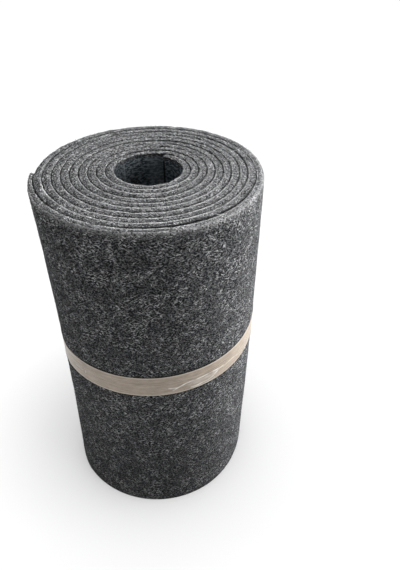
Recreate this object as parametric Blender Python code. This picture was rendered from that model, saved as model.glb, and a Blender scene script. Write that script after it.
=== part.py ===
# A roll of thick needled felt standing on end, held by one strip of tape.
# The felt is a single sheet wound into a spiral, its turns a little apart, with
# an open bore and a loose outer end on the left that tapers to its edge.
# Metres, +Z up. The origin is the middle of the foot, and the foot is at z = 0.

import math

import bmesh
import bpy
import numpy as np

# The felt: a long strip that stands on its edge, so its width is the height.
ROLL_HEIGHT = 0.500
FELT_THICKNESS = 0.0092
TURN_PITCH = 0.01015
WHOLE_TURNS = 9
STEPS_PER_TURN = 36

# The winding starts at the loose end and closes in counterclockwise, seen from
# above. Angles are in degrees from +X.
LOOSE_END_ANGLE = 180.0
INNER_END_ANGLE = 60.0
LOOSE_END_INNER_RADIUS = 0.13535
LOOSE_END_TAPER_ANGLE = 30.0
LOOSE_END_THICKNESS_SHARE = 0.35

# The roll isn't quite round: how far the turns are pushed out at an angle.
# Columns: angle in degrees, outermost turn, innermost turn.
OUT_OF_ROUND = (
    (0.0, -0.0020, 0.0020),
    (30.0, 0.0000, 0.0015),
    (60.0, 0.0008, 0.0005),
    (90.0, -0.0008, -0.0036),
    (120.0, -0.0020, -0.0045),
    (150.0, -0.0018, -0.0035),
    (180.0, 0.0000, -0.0022),
    (240.0, 0.0000, -0.0012),
    (270.0, -0.0002, -0.0004),
    (300.0, -0.0012, 0.0004),
    (330.0, -0.0030, 0.0012),
)

# Halfway up, the roll leans out to +X and its turns are drawn in by the tape.
SIDEWAYS_BOW = 0.0032
WAIST_SHARE = 0.0094
FACE_LEVELS = (0.0, 0.125, 0.245, 0.295, 0.395, ROLL_HEIGHT)

# Some turns stand a little proud of the others at the top.
TURN_HEIGHT_SWING = 0.0008
TURNS_PER_SWING = 3.3
FRONT_DIP = 0.0022
FRONT_DIP_ANGLE = 320.0
FRONT_DIP_SPREAD = 45.0

# The tape: one band round the roll, higher on its +X side.
BAND_WIDTH = 0.033
BAND_THICKNESS = 0.0010
BAND_GAP = 0.0003
BAND_HEIGHT = 0.2704
BAND_SLOPE = 0.0388

SMOOTH_ANGLE = math.radians(30.0)


def clear_scene():
    for old in list(bpy.data.objects):
        bpy.data.objects.remove(old, do_unlink=True)


def make_material(name, colour, roughness, sheen):
    material = bpy.data.materials.new(name)
    material.use_nodes = True
    shader = material.node_tree.nodes["Principled BSDF"]
    shader.inputs["Base Color"].default_value = (*colour, 1.0)
    shader.inputs["Roughness"].default_value = roughness
    shader.inputs["Metallic"].default_value = 0.0
    shader.inputs["Sheen Weight"].default_value = sheen
    return material


def out_of_round(angle, depth):
    """Push of a turn at an angle in degrees; depth is 0 outside, 1 in the bore."""
    angles = [row[0] for row in OUT_OF_ROUND]
    outer = np.interp(angle, angles, [row[1] for row in OUT_OF_ROUND], period=360.0)
    inner = np.interp(angle, angles, [row[2] for row in OUT_OF_ROUND], period=360.0)
    return (1.0 - depth) * outer + depth * inner


def total_turns():
    part_turn = ((INNER_END_ANGLE - LOOSE_END_ANGLE) % 360.0) / 360.0
    return WHOLE_TURNS + part_turn


def face_radii(turns):
    """Inner and outer radius of the felt after so many turns from the loose end."""
    angle = LOOSE_END_ANGLE + 360.0 * turns
    push = out_of_round(angle % 360.0, turns / total_turns())
    inner = LOOSE_END_INNER_RADIUS - TURN_PITCH * turns + push
    taper = min(1.0, 360.0 * turns / LOOSE_END_TAPER_ANGLE)
    share = LOOSE_END_THICKNESS_SHARE + (1.0 - LOOSE_END_THICKNESS_SHARE) * taper
    return inner, inner + FELT_THICKNESS * share


def top_height(turns):
    """Height of the felt's upper edge: level, but for small steps and one dip."""
    swing = TURN_HEIGHT_SWING * math.sin(math.tau * turns / TURNS_PER_SWING)
    away = LOOSE_END_ANGLE + 360.0 * turns - FRONT_DIP_ANGLE
    dip = 0.0
    if turns < 1.0:
        dip = FRONT_DIP * math.exp(-(away / FRONT_DIP_SPREAD) ** 2)
    return ROLL_HEIGHT - TURN_HEIGHT_SWING + swing - dip


def halfway_share(height):
    """0 at the foot and the top, 1 halfway up, straight between the levels."""
    shares = [math.sin(math.pi * level / ROLL_HEIGHT) for level in FACE_LEVELS]
    return float(np.interp(height, FACE_LEVELS, shares))


def place(angle, radius, level, height):
    """Point of the bowed and waisted roll at an angle in degrees."""
    share = halfway_share(level)
    reach = radius * (1.0 - WAIST_SHARE * share)
    turned = math.radians(angle)
    x = reach * math.cos(turned) + SIDEWAYS_BOW * share
    y = reach * math.sin(turned)
    return (x, y, height)


def felt_section(turns):
    """Closed outline of the felt's cross-section: up its outside, down its inside."""
    angle = LOOSE_END_ANGLE + 360.0 * turns
    inner, outer = face_radii(turns)
    top = top_height(turns)
    section = []
    for level in FACE_LEVELS:
        height = level * top / ROLL_HEIGHT
        section.append(place(angle, outer, level, height))
    for level in reversed(FACE_LEVELS):
        height = level * top / ROLL_HEIGHT
        section.append(place(angle, inner, level, height))
    return section


def felt_shape():
    """Points and faces of the wound sheet, one section for each step."""
    steps = round(total_turns() * STEPS_PER_TURN)
    points = []
    for step in range(steps + 1):
        points.extend(felt_section(step / STEPS_PER_TURN))
    around = 2 * len(FACE_LEVELS)
    faces = []
    for step in range(steps):
        here = step * around
        after = here + around
        for k in range(around):
            nxt = (k + 1) % around
            faces.append((here + k, after + k, after + nxt, here + nxt))
    for first in (0, steps * around):
        for k in range(len(FACE_LEVELS) - 1):
            across = around - 1 - k
            faces.append((first + k, first + k + 1, first + across - 1, first + across))
    return points, faces


def taut_outline():
    """Radius at each step round the roll of a band pulled straight over its dips."""
    spread = math.tau / STEPS_PER_TURN
    radii = [face_radii(step / STEPS_PER_TURN)[1] for step in range(STEPS_PER_TURN)]
    settled = False
    while not settled:
        settled = True
        for k in range(STEPS_PER_TURN):
            before = radii[k - 1]
            after = radii[(k + 1) % STEPS_PER_TURN]
            chord = 2.0 * before * after * math.cos(spread) / (before + after)
            if radii[k] < chord - 1e-7:
                radii[k] = chord
                settled = False
    return radii


def band_shape():
    """Points and faces of the flat closed band that lies on the taut outline."""
    points = []
    clear = BAND_GAP / math.cos(math.pi / STEPS_PER_TURN)
    for k, outline in enumerate(taut_outline()):
        angle = LOOSE_END_ANGLE + 360.0 * k / STEPS_PER_TURN
        middle = BAND_HEIGHT + BAND_SLOPE * outline * math.cos(math.radians(angle))
        low = middle - BAND_WIDTH / 2.0
        high = middle + BAND_WIDTH / 2.0
        inner = outline + clear
        outer = inner + BAND_THICKNESS
        for radius, height in ((outer, low), (outer, high), (inner, high), (inner, low)):
            points.append(place(angle, radius, height, height))
    faces = []
    for k in range(STEPS_PER_TURN):
        here = 4 * k
        after = 4 * ((k + 1) % STEPS_PER_TURN)
        for side in range(4):
            nxt = (side + 1) % 4
            faces.append((here + side, after + side, after + nxt, here + nxt))
    return points, faces


def foot_middle(shapes):
    """Middle of the box that holds all the points, at floor height."""
    points = np.array([point for shape in shapes for point in shape[0]])
    middle = (points.min(axis=0) + points.max(axis=0)) / 2.0
    return np.array([middle[0], middle[1], 0.0])


def make_object(name, shape, origin, material):
    points, faces = shape
    mesh = bpy.data.meshes.new(name)
    mesh.from_pydata([tuple(np.array(point) - origin) for point in points], [], faces)
    tidy = bmesh.new()
    tidy.from_mesh(mesh)
    bmesh.ops.triangulate(tidy, faces=tidy.faces[:])
    bmesh.ops.recalc_face_normals(tidy, faces=tidy.faces[:])
    tidy.to_mesh(mesh)
    tidy.free()
    mesh.materials.append(material)
    mesh.shade_smooth()
    mesh.set_sharp_from_angle(angle=SMOOTH_ANGLE)
    made = bpy.data.objects.new(name, mesh)
    bpy.context.scene.collection.objects.link(made)
    return made


def build():
    clear_scene()
    felt = make_material("charcoal_felt", (0.050, 0.052, 0.056), 0.95, 0.5)
    tape = make_material("beige_tape", (0.42, 0.35, 0.28), 0.38, 0.0)
    wound = felt_shape()
    band = band_shape()
    origin = foot_middle((wound, band))
    make_object("felt_roll", wound, origin, felt)
    make_object("tape_band", band, origin, tape)


build()
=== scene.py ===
# Looks of the roll of felt: the wound sheet with its fibres, and the strip of
# tape round it. Metres, +Z up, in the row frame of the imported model.

import math

import bpy
import numpy as np
from mathutils import Matrix, Vector

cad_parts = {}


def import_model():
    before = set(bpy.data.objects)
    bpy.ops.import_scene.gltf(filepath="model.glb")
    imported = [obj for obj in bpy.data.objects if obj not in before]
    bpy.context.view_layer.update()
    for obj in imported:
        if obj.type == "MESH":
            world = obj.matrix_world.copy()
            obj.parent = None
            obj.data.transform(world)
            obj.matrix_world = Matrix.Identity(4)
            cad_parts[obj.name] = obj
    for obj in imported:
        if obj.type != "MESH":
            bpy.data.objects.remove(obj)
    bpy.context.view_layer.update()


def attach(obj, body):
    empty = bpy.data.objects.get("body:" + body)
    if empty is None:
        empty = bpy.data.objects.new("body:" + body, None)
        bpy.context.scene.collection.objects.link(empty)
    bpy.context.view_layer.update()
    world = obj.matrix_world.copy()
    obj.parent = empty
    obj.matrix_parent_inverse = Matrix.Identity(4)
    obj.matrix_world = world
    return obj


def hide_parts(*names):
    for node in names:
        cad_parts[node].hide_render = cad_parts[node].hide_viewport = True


# The camera, in the axes of the winding.
CAMERA_PLACE = (0.0, -0.56219, 0.76801)
CAMERA_DOWN = 0.67191
CAMERA_TO_RIGHT = 0.11282
CAMERA_ROLL = 0.01651
CAMERA_LENS = 31.98
SENSOR_SIZE = 36.0
CAMERA_NEAR = 0.01
CAMERA_FAR = 50.0

# The lights. Columns: name, azimuth in degrees from +X towards +Y, elevation in
# degrees, distance, side length, and strength.
ROLL_LIGHTS = (
    ("soft_right", 15.0, 22.0, 1.5, 1.10, 5.2),
    ("soft_back", 85.0, 46.0, 3.0, 1.6, 2.4),
)
FLOOR_LIGHT = ("soft_floor", -25.0, 78.0, 3.0, 0.85, 0.20)
LIGHT_TARGET_HEIGHT = 0.3
WORLD_STRENGTH = 1.05
FLOOR_REACH = 9.0
FLOOR_DEPTH = 0.0002

# The winding's own axis at the foot, in the row frame.
AXIS_X = -0.00114
AXIS_Y = 0.00292

# The felt's winding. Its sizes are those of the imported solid, but for smaller steps
# in height from turn to turn.
ROLL_HEIGHT = 0.500
FELT_THICKNESS = 0.0092
TURN_PITCH = 0.01015
WHOLE_TURNS = 9
LOOSE_END_ANGLE = 180.0
INNER_END_ANGLE = 60.0
LOOSE_END_INNER_RADIUS = 0.13535
LOOSE_END_TAPER_ANGLE = 30.0
LOOSE_END_THICKNESS_SHARE = 0.35
# Columns: angle in degrees, push of the outermost turn, push of the innermost.
OUT_OF_ROUND = (
    (0.0, -0.0020, 0.0020),
    (30.0, 0.0000, 0.0015),
    (60.0, 0.0008, 0.0005),
    (90.0, -0.0008, -0.0036),
    (120.0, -0.0020, -0.0045),
    (150.0, -0.0018, -0.0035),
    (180.0, 0.0000, -0.0022),
    (240.0, 0.0000, -0.0012),
    (270.0, -0.0002, -0.0004),
    (300.0, -0.0012, 0.0004),
    (330.0, -0.0030, 0.0012),
)
SIDEWAYS_BOW = 0.0032
WAIST_SHARE = 0.0094
TURN_HEIGHT_SWING = 0.0003
TURNS_PER_SWING = 3.3
FRONT_DIP = 0.0022
FRONT_DIP_ANGLE = 320.0
FRONT_DIP_SPREAD = 45.0

# The tape.
BAND_WIDTH = 0.033
BAND_GAP = 0.0003
BAND_HEIGHT = 0.2704
BAND_SLOPE = 0.0388
FILM_THICKNESS = 0.00025
# Places along the tape are measured at this radius, and its run is the whole way round.
BAND_RADIUS = 0.139
BAND_RUN = 0.87
BAND_STEPS = 1260
BAND_ROWS = 34
TAUT_STEPS = 144
TAUT_SWEEPS = 4000
TAUT_ENOUGH = 1e-8

# The tape's own end lies on its first turn, behind the roll. It is cut a little askew.
LAP_START_ANGLE = 92.0
LAP_END_ANGLE = 121.0
LAP_SKEW = 0.0022
LAP_END_FADE = 0.00015
LAP_START_FADE = 0.00030
# Its pale line, a painted highlight on the cut end, and its dark line, a painted shadow just past
# the step. Columns: tone, distance past the end, and half width.
LAP_PALE = (0.55, -0.0006, 0.0005)
LAP_DARK = (0.55, 0.0005, 0.0005)
DOUBLED_SHADE = 0.10

# The film's ripples: height, wavelength, how much closer they lie across the tape, and seed. The
# shift keeps the places of the noise above 0. The film is painted darker at the right: painted shade
# where the light from the right falls strongest.
FILM_RIPPLES = ((0.00016, 0.05, 6.0, 41), (0.00008, 0.016, 5.0, 42))
NOISE_SHIFT = 0.02
CREASE_WANDER = 0.004
CREASE_FADING = 0.4
CREASE_SEED = 43
CREASE_RISE_WIDTH = 0.0009
RIGHT_SHADE_ANGLE = -10.0
RIGHT_SHADE_SPREAD = 35.0
RIGHT_SHADE = 0.29

# Creases in the film. Columns: rise in millimetres, half width in millimetres, tone (a painted
# highlight above 0, painted shade below 0), and the points of the line, each an angle in degrees and
# millimetres above the tape's middle.
CREASES = (
    (0.00, 3.6, 0.22, ((284.8, -5.6), (291.0, -5.7), (297.2, -4.9), (300.0, -3.6))),
    (0.30, 0.75, 1.00, ((275.2, -10.3), (277.5, -6.6), (279.7, -4.1), (282.2, -1.7),
                        (284.8, -0.7), (286.8, -0.9))),
    (0.22, 0.60, 0.80, ((272.9, -4.9), (274.7, -6.1), (276.6, -6.4), (277.5, -6.6))),
    (0.25, 0.60, 0.95, ((286.8, -0.9), (290.9, -0.3), (293.8, 0.0), (297.2, 0.3),
                        (299.9, -0.3), (302.8, -1.5), (305.0, -1.5))),
    (-0.10, 0.70, -0.60, ((290.2, 2.3), (293.8, 2.5), (296.7, 2.6), (300.0, 2.0))),
    (0.22, 0.70, 0.80, ((284.8, -12.4), (288.2, -12.7), (291.7, -11.4), (295.4, -11.3),
                        (297.7, -9.4), (300.0, -5.4), (301.6, -2.6), (302.8, -1.5))),
    (0.12, 0.60, 0.50, ((286.2, -15.0), (291.8, -15.2), (296.6, -14.8), (299.4, -13.6))),
    (0.15, 0.60, 0.60, ((305.0, -3.2), (309.2, -2.1), (313.3, -2.3), (318.0, -5.2))),
    (-0.10, 0.60, -0.50, ((303.1, 5.7), (307.6, 5.4), (312.6, 2.4))),
    (-0.15, 0.90, -0.80, ((203.2, 6.1), (207.6, 5.8), (209.9, 4.7), (212.1, 4.0))),
    (0.12, 1.20, 0.45, ((201.0, 11.8), (207.2, 12.0), (211.9, 12.2), (216.4, 12.6))),
    (-0.15, 0.65, -0.75, ((219.4, 7.2), (221.8, 7.3), (224.5, 4.3))),
    (0.15, 0.80, 0.50, ((217.8, -1.1), (220.6, -1.7), (223.7, -1.4))),
    (-0.12, 0.60, -0.60, ((218.8, -3.4), (221.7, -2.3))),
    (-0.15, 0.60, -0.80, ((224.7, -1.3), (224.4, -4.7))),
    (0.15, 0.60, 0.60, ((225.8, 0.5), (225.5, -3.5))),
    (-0.08, 0.50, -0.40, ((226.9, 4.1), (231.7, -0.6), (233.8, -1.2))),
    (-0.08, 0.50, -0.40, ((221.6, 13.0), (226.1, 11.2), (230.6, 10.5), (235.3, 10.2))),
)

# The rows of the felt's section, from the foot up the outer face, over the cut edge
# and down the inner face.
FOOT_ANGLES = (60.0, 30.0, 0.0)
OUTER_LEVELS_BELOW = (0.012, 0.04, 0.07, 0.10, 0.13, 0.16, 0.19, 0.215, 0.232)
BAND_OFFSETS = (-0.0285, -0.0235, -0.0200, -0.0178, -0.0167, -0.0157, -0.005,
                0.005, 0.0157, 0.0167, 0.0178, 0.0200, 0.0235, 0.0285)
OUTER_LEVELS_ABOVE = (0.308, 0.335, 0.365, 0.395, 0.42, 0.445, 0.465, 0.48, 0.49)
CORNER_ANGLES = (0.0, 22.5, 45.0, 67.5, 90.0)
# Columns: place between the inner face, 0, and the outer, 1, and the seed of its grain.
CROWN_ROWS = ((0.72, 103), (0.5, 81), (0.28, 59))
INNER_LEVELS = (0.494, 0.485, 0.47, 0.44, 0.40, 0.32, 0.20, 0.08, 0.01)
SMOOTH_ABOVE = 0.47

# The felt's fine form.
COLUMN_LENGTH = 0.0036
EDGE_ROUNDING = 0.0017
OUTERMOST_EDGE_ROUNDING = 0.0030
EDGE_ROUNDING_SHARE = 0.35
FOOT_ROUNDING = 0.0008
CROWN_HEIGHT = 0.0004
CROWN_GRAIN = 0.00025
CROWN_GRAIN_LENGTH = 0.005
INNER_END_LIFT = 0.0022
INNER_END_LENGTH = 0.016
# Unevenness. Columns: height, wavelength and seed.
TOP_WAVES = ((0.00035, 0.011, 11), (0.00020, 0.0045, 12))
OUTER_EDGE_WAVES = ((0.00022, 0.008, 13), (0.00015, 0.004, 14))
INNER_EDGE_WAVES = ((0.00022, 0.008, 15), (0.00015, 0.004, 16))
SIDE_WAVES = ((0.00045, 0.060, 21), (0.00015, 0.022, 22))

# How the felt stands out beside the tape, and is cut in at the tape's edges.
# Columns: rise, its distance from the tape's edge, and its half width.
BAND_SHOULDER = (0.0008, 0.0042, 0.0030)
BAND_CUT = (-0.0013, 0.0006, 0.0009)

# The gaps between the turns at the top: how far the edges stand out into them, or
# draw back where below 0.
FRONT_ANGLE = 275.0
PRESS_ANGLE = 230.0
PRESS_POWER = 1.6
EDGE_SWELL_IN_FRONT = 0.00042
EDGE_SWELL_BEHIND = -0.00085
OUTERMOST_GAP_OPENING = -0.00012
CLOSED_GAP = (237.0, 19.0)
CLOSED_GAP_SWELL = 0.0008
TIP_SPREAD = 11.0
WIDE_GAP_TURNS = 6.76
WIDE_GAP_SPREAD = 0.13
WIDE_GAP_OPENING = 0.0008

# Painted shade on the felt: in the gaps, beside them, at the left, at its tip and next to the tape.
# A part or line is its shade, its distance from the edge, and its width. A side is its angle and
# spread in degrees.
GAP_SHADE_START = 0.00015
GAP_SHADE_DEPTH = 0.0009
PRESSED_FADING = 0.80
CLOSED_FADING = 0.85
OUTER_PART = (0.50, 0.0, 0.0026)
OUTER_PART_BEHIND = 0.8
INNER_PART = (0.65, 0.0, 0.0020)
LEFT_SHADE = 0.34
LEFT_SIDE = (200.0, 55.0)
TIP_SHADE = 0.55
TIP_SHADE_DEPTH = 0.006
TAPE_LINE = (0.70, 0.0004, 0.0010)
# Painted shade towards the floor: between two heights, the shade at the lower and at the upper one.
FLOOR_SHADE = (0.02, 0.26, 0.26, 0.0)

# The pale line on the inner top edge of the turns: raised pale fibres, with a painted highlight that
# is strongest in front, where the light from behind catches the edges; and the paler side below the
# outermost top edge, fibres with a painted highlight.
PALE_EDGE_DEPTH = 0.0016
PALE_EDGE_LINE = (1.9, 0.0004, 0.0015)
PALE_EDGE_BEHIND = 0.06
PALE_EDGE_POWER = 4
PALE_EDGE_LEFT_FADING = 0.6
PALE_EDGE_OUTERMOST_FADING = 0.4
PALE_EDGE_TIP_FADING = 0.8
PALE_SIDE_STRENGTH = 0.32
PALE_SIDE_DEPTH = 2.2
PALE_OUTER_LINE = (0.10, 0.0, 0.0010)

# The cut edge's own look reaches a little down the faces.
CUT_DEPTH = 0.0012
CUT_FADE = 0.0010
OUTERMOST_CUT_FADE = 0.0018

# The wall of the bore, painted paler than the felt outside as painted light where little light
# reaches: painted shade at its left, one pale upright fold as a painted highlight, one broad paler
# part of painted light, and a painted shadow beside the felt's inner end.
BORE_TURNS = 1.15
BORE_FADE_TURNS = 0.01
BORE_FACE_DEPTH = 0.0004
LEFT_WALL = (162.0, 38.0)
LEFT_WALL_SHADE = 0.75
FOLD_ANGLE = 138.0
FOLD_STRENGTH = 0.42
PALE_WALL_ANGLE = 78.0
PALE_WALL_FADE = (0.004, 0.016)
PALE_WALL_STRENGTH = 0.26
UPRIGHT_FADE = (0.0007, 0.0022)
END_LINE_INSET = 0.0012
BEHIND_END_LINE_INSET = 0.0005

# Loose fibres. Columns: least and greatest length, width and height over the felt, the
# power that makes pale ones rare, and how far they turn from their row in degrees.
FIBRE_KNOTS = 4
RIBBON_BEND = 0.7
RIBBON_CURL_REST = 0.08
RIBBON_DROP = 3.2
RIBBON_NARROWING = 1.4
BRIGHT_FIBRE_SHARE = 0.04
BRIGHT_FIBRE_TONE = 1.6
SIDE_FIBRES = ((0.0015, 0.0056), (0.00022, 0.0007), (0.0001, 0.0006), 3.2, 90.0)
TOP_FIBRES = ((0.0015, 0.0045), (0.00025, 0.0006), (0.0001, 0.0005), 2.6, 90.0)
EDGE_FIBRES = ((0.0018, 0.0048), (0.00028, 0.00065), (0.0000, 0.0005), 0.9, 35.0)
TUFT_FIBRES = ((0.0025, 0.0060), (0.0004, 0.0009), (0.0001, 0.0008), 0.3, 90.0)
SIDE_FIBRE_COUNT = 11000
TOP_FIBRE_COUNT = 12500
EDGE_FIBRE_COUNT = 7000
OVER_FELT = 0.0001
TUFT_OVER_FELT = 0.0002

# Fibres on the side lie closer in some patches. Columns: share, size in metres, and what
# is added to the seed.
DRAWS_PER_SIDE_PLACE = 3
SIDE_TURNS = 0.999
SIDE_PATCHES = ((1.0, 0.012, 1), (0.6, 0.035, 2))
PATCH_LEAST = -1.3
TAPE_MARGIN = 0.0015
# The pieces of the side. Columns: name, seed, lowest and highest place.
SIDE_LINT = (("lint_lower", 101, 0.004, 0.27), ("lint_upper", 111, 0.27, 0.493))

# Fibres on the cut edge lie between two shares of its width, and fewer at the left.
TOP_SHARES = (0.08, 0.92)
TOP_LEFT_LOSS = 0.55

# Fibres of the pale line lie over the inner top edge and lean inwards, few behind.
DRAWS_PER_EDGE_PLACE = 2
EDGE_FIBRES_BEHIND = 0.10
EDGE_FIBRE_SPREAD = 0.0009
EDGE_FIBRE_INSET = 0.0003
EDGE_FIBRE_DROP = 0.0004
EDGE_FACING_IN = 0.5
EDGE_FACING_UP = (0.0, 0.0, 0.87)

# Small tufts of pale fibres. Columns: angle in degrees, height on the outer face.
SIDE_TUFTS = (
    (262.9, 0.446), (272.4, 0.488), (285.3, 0.475), (285.7, 0.480), (283.5, 0.457),
    (273.7, 0.417), (282.5, 0.4245), (285.9, 0.395), (220.4, 0.287), (229.7, 0.308),
    (269.6, 0.356), (285.5, 0.333), (290.0, 0.320), (275.2, 0.341), (287.6, 0.482),
    (289.2, 0.449), (243.0, 0.481), (268.7, 0.436), (251.6, 0.4755), (257.8, 0.401),
    (264.1, 0.384), (260.2, 0.3745), (236.7, 0.3685), (247.7, 0.379), (282.0, 0.419),
    (25.0, 0.43), (48.0, 0.36), (74.0, 0.47), (97.0, 0.33), (121.0, 0.44), (149.0, 0.38),
    (166.0, 0.46), (15.0, 0.19), (62.0, 0.12), (110.0, 0.17), (140.0, 0.09), (196.0, 0.21),
)
# The same on the upper edge. Columns: angle in degrees, radius.
TOP_TUFTS = (
    (205.7, 0.1277), (203.2, 0.1272), (200.7, 0.1267), (334.7, 0.1316), (331.1, 0.1313),
    (231.7, 0.1390), (258.4, 0.1272), (282.2, 0.1388), (280.7, 0.1300), (232.6, 0.1135),
    (313.6, 0.1373), (301.5, 0.1360), (40.0, 0.0930), (118.0, 0.1180), (150.0, 0.0840),
)
FIBRES_PER_TUFT = 4
TUFT_SPREAD = 0.0019
TOP_TUFT_TURN = 0.9
TOP_TUFT_NARROWING = 0.7

# The felt's specks. Columns: slant in degrees, length and width in metres, and the
# noise values where a speck begins and is full.
FINE_FLECKS = (
    (-36.0, 0.0034, 0.0012, 0.630, 0.690),
    (27.0, 0.0035, 0.0012, 0.630, 0.690),
    (74.0, 0.0028, 0.0011, 0.635, 0.695),
)
BRIGHT_FLECKS = (
    (-31.0, 0.0058, 0.0014, 0.67, 0.73),
    (34.0, 0.0054, 0.0014, 0.66, 0.72),
    (3.0, 0.0048, 0.0013, 0.67, 0.73),
)
DARK_FLECKS = (
    (40.0, 0.0036, 0.0017, 0.60, 0.68),
    (-46.0, 0.0034, 0.0016, 0.60, 0.68),
)
BORE_FLECKS = (0.0, 0.0058, 0.0023, 0.44, 0.60)
FLECK_SHIFT = 0.013
FLECK_WARP = 0.15
FINE_FLECK_STRENGTH = 0.85
DARK_FLECK_STRENGTH = 0.80
CUT_FLECK_LOSS = 0.30

# The felt's tones. A noise is its scale, detail, roughness and distortion. A range is the
# noise values where a tone begins and is full, and in some its share at both.
GROUND_NOISES = ((26.0, 3.0, 0.6), (140.0, 3.0, 0.6, 0.3), (580.0, 2.0, 0.6), (950.0, 1.0, 0.6))
CRUMB_NOISE = (540.0, 1.0, 0.5)
PIT_NOISE = (430.0, 1.0, 0.5)
PATCH_NOISE = (60.0, 2.0, 0.6)
GROUND_RANGE = (0.455, 0.56)
CUT_RANGE = (0.42, 0.59)
CRUMB_RANGE = (0.575, 0.63, 0.0, 0.95)
PIT_RANGE = (0.39, 0.46, 0.95, 0.0)
PATCH_RANGE = (0.42, 0.60, 0.15, 1.0)
PALE_EDGE_BREAKUP = (0.37, 0.53)
# Shares of the broad, blotch, grain and dust noises, and on the cut edge of three of them.
GROUND_SHARES = (0.16, 0.10, 0.52, 0.22)
CUT_SHARES = (0.10, 0.60, 0.30)
WALL_STRENGTH = 0.85
GAP_STRENGTH = 0.92
# Shares of the felt's relief: bright specks, tone, fine specks, dark specks, cut edge.
RELIEF_SHARES = (0.4, 1.0, 0.3, -0.5, 1.0)
CRUMB_RISE = 0.9
FELT_RELIEF = (1.0, 0.0016)
FIBRE_NOISE = (700.0, 2.0)
FIBRE_RANGE = (0.2, 0.7, 0.6, 1.0)

# The film's cloudy tone, its pale edges as a painted highlight, and its relief: strength and depth.
CLOUD_NOISE = (70.0, 3.0, 0.6)
CLOUD_RANGE = (0.40, 0.60)
FILM_EDGE_START = 0.0026
FILM_EDGE_FULL = 0.0008
FILM_EDGE_STRENGTH = 0.65
FILM_RELIEF = (0.4, 0.0004)

# Surfaces.
FELT_SURFACE = {"Roughness": 0.95, "Specular IOR Level": 0.02, "Sheen Weight": 0.012,
                "Sheen Roughness": 0.5}
FIBRE_SURFACE = {"Roughness": 0.7, "Specular IOR Level": 0.1}
FILM_SURFACE = {"Roughness": 0.30, "Specular IOR Level": 0.32}
FLOOR_SURFACE = {"Base Color": (0.95, 0.95, 0.95, 1.0), "Roughness": 0.9,
                 "Specular IOR Level": 0.0}

# The film's streaks. Columns: length and width in metres, the noise values where a
# streak begins and is full, its strength, and its colour.
STREAKS = (
    (0.060, 0.0022, 0.45, 0.65, 0.55, (0.250, 0.208, 0.164)),
    (0.024, 0.0010, 0.56, 0.66, 0.60, (0.130, 0.104, 0.080)),
    (0.034, 0.0008, 0.60, 0.70, 0.55, (0.330, 0.290, 0.245)),
)
STREAK_SLANT = 0.4

# The felt's colours.
GROUND_DARK = (0.0010, 0.0012, 0.0018)
GROUND_PALE = (0.0122, 0.0129, 0.0146)
CUT_DARK = (0.0020, 0.0022, 0.0028)
CUT_PALE = (0.0245, 0.0254, 0.0272)
CRUMB_PALE = (0.2600, 0.2620, 0.2650)
PIT_DARK = (0.0020, 0.0021, 0.0025)
FLECK_DARK = (0.0020, 0.0020, 0.0028)
FLECK_FINE = (0.125, 0.127, 0.130)
FLECK_BRIGHT = (0.360, 0.363, 0.368)
# Painted shade towards the floor.
SHADE_DARK = (0.0020, 0.0021, 0.0026)
# Colours of the bore's wall, much paler than the felt outside: painted light where little light
# reaches into the bore.
BORE_DARK = (0.0130, 0.0180, 0.0220)
BORE_PALE = (0.0880, 0.1040, 0.1160)
FOLD_HIGHLIGHT = (0.1700, 0.1850, 0.1960)
WALL_PAINTED_LIGHT = (0.1500, 0.1720, 0.1900)
# Painted shade in the gaps and beside them, and a painted shadow in the bore.
GAP_DARK = (0.0012, 0.0012, 0.0016)
# Pale raised fibres with a painted highlight, on the edges of the turns.
EDGE_PALE_AND_HIGHLIGHT = (0.560, 0.562, 0.565)
FIBRE_DARK = (0.012, 0.013, 0.015)
FIBRE_PALE = (0.38, 0.385, 0.39)

# The film's colours.
FILM_DARK = (0.186, 0.149, 0.114)
FILM_PALE = (0.226, 0.185, 0.144)
FILM_EDGE_HIGHLIGHT = (0.360, 0.320, 0.270)
# Painted shade of the creases, past the lap's end and at the right end, with the doubled film's own
# darker tone.
FILM_SHADE = (0.075, 0.060, 0.048)
FILM_CREASE_HIGHLIGHT = (0.72, 0.72, 0.71)


def value_noise(position, wavelength, seed):
    """Smooth noise from -1 to 1 along a line, at distances in metres."""
    cells = np.asarray(position) / wavelength
    first = np.floor(cells).astype(int)
    part = cells - first
    part = part * part * (3.0 - 2.0 * part)
    values = np.random.default_rng(seed).uniform(-1.0, 1.0, int(first.max()) + 2)
    return values[first] * (1.0 - part) + values[first + 1] * part


def sheet_noise(along, up, wavelength, seed):
    """Smooth noise from -1 to 1 over a sheet, at two distances in metres."""
    column = np.asarray(along) / wavelength
    row = np.asarray(up) / wavelength
    left = np.floor(column).astype(int)
    low = np.floor(row).astype(int)
    across = column - left
    above = row - low
    across = across * across * (3.0 - 2.0 * across)
    above = above * above * (3.0 - 2.0 * above)
    size = (int(left.max()) + 2, int(low.max()) + 2)
    values = np.random.default_rng(seed).uniform(-1.0, 1.0, size)
    lower = values[left, low] * (1.0 - across) + values[left + 1, low] * across
    upper = values[left, low + 1] * (1.0 - across) + values[left + 1, low + 1] * across
    return lower * (1.0 - above) + upper * above


def uneven(waves, noise, *spot):
    """Sum of noises, each with a height, wavelength and seed, along a line or a sheet."""
    return sum(height * noise(*spot, wavelength, seed) for height, wavelength, seed in waves)


def bump(away, rise, middle, half_width):
    """A smooth rise or hollow at one distance from a line."""
    return rise * np.exp(-((away - middle) / half_width) ** 2)


# The form of the winding.
def total_turns():
    part_turn = ((INNER_END_ANGLE - LOOSE_END_ANGLE) % 360.0) / 360.0
    return WHOLE_TURNS + part_turn


def angle_at(turns):
    """Angle in degrees, not taken round, after so many turns from the loose end."""
    return LOOSE_END_ANGLE + 360.0 * turns


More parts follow.
